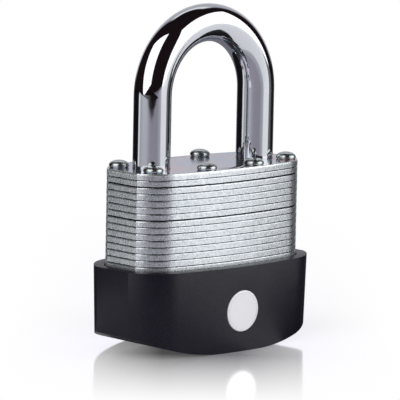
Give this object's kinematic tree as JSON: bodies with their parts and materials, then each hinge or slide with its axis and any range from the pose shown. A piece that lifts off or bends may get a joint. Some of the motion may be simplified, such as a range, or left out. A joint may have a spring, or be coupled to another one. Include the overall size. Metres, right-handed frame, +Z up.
{
  "type": "padlock",
  "caption": "Laminated steel padlock with a round chrome shackle, domed rivets and a black moulded bumper round its lower half.",
  "frame": {"origin": "under the middle of the bumper, on the surface that the lock stands on", "axes": "+X to the right seen from the front, the badge on the front at -Y, +Z up along the shackle legs"},
  "size_m": [0.0508, 0.0266, 0.0727],
  "materials": {
    "plate_zinc": "bright zinc plate on sheared steel edges, fine vertical streaks",
    "top_plate_zinc": "bright zinc plate, smooth and glossy",
    "rivet_steel": "polished nickel plate",
    "bumper_plastic": "fine-textured matt black moulding",
    "badge_metal": "satin silver disc, plain",
    "housing_brass": "machined brass",
    "plug_brass": "turned brass",
    "pin_brass": "turned brass",
    "pin_nickel": "nickel plate",
    "spring_steel": "spring wire",
    "shackle_chrome": "mirror chrome on hardened steel",
    "clip_steel": "blued steel",
    "cam_brass": "cast brass",
    "latch_steel": "hardened steel, stamped"
  },
  "bodies": {
    "case": {"top_plate": "top_plate_zinc", "guide_plate_1": "plate_zinc", "guide_plate_2": "plate_zinc", "guide_plate_3": "plate_zinc", "latch_plate_1": "plate_zinc", "latch_plate_2": "plate_zinc", "cam_plate_1": "plate_zinc", "cam_plate_2": "plate_zinc", "clip_plate": "plate_zinc", "cylinder_plate_1": "plate_zinc", "cylinder_plate_2": "plate_zinc", "cylinder_plate_3": "plate_zinc", "cylinder_plate_4": "plate_zinc", "cylinder_plate_5": "plate_zinc", "cylinder_plate_6": "plate_zinc", "cylinder_plate_7": "plate_zinc", "cylinder_plate_8": "plate_zinc", "cylinder_plate_9": "plate_zinc", "cylinder_plate_10": "plate_zinc", "cylinder_plate_11": "plate_zinc", "cylinder_plate_12": "plate_zinc", "cylinder_plate_13": "plate_zinc", "cylinder_plate_14": "plate_zinc", "base_plate": "plate_zinc", "rivets": "rivet_steel", "bumper": "bumper_plastic", "badge": "badge_metal", "cylinder_housing": "housing_brass", "driver_pins": "pin_nickel", "pin_springs": "spring_steel", "chamber_cover": "housing_brass", "latch_springs": "spring_steel", "shackle_spring": "spring_steel"},
    "shackle": {"shackle": "shackle_chrome"},
    "plug": {"plug": "plug_brass", "key_pins": "pin_brass", "plug_clip": "clip_steel", "cam_disc": "cam_brass", "drive_pins": "clip_steel"},
    "toe_latch": {"toe_latch": "latch_steel"},
    "heel_latch": {"heel_latch": "latch_steel"}
  },
  "joints": [
    {"name": "shackle_lift", "type": "slide", "parent": "case", "child": "shackle", "axis": [0, 0, 1], "range_m": [0, 0.012], "deforming": ["shackle_spring"]},
    {"name": "plug_turn", "type": "hinge", "parent": "case", "child": "plug", "pos_m": [0, 0, 0.02], "axis": [0, 0, 1], "range_deg": [-60, 0]},
    {"name": "toe_latch_slide", "type": "slide", "parent": "case", "child": "toe_latch", "axis": [1, 0, 0], "range_m": [0, 0.0018], "deforming": ["latch_springs"]},
    {"name": "heel_latch_slide", "type": "slide", "parent": "case", "child": "heel_latch", "axis": [-1, 0, 0], "range_m": [0, 0.0012]}
  ],
  "couplings": [
    {"joint": "plug_turn", "follows": "toe_latch_slide", "rad_per_m": -581.78},
    {"joint": "heel_latch_slide", "follows": "toe_latch_slide", "ratio": 0.66667}
  ]
}
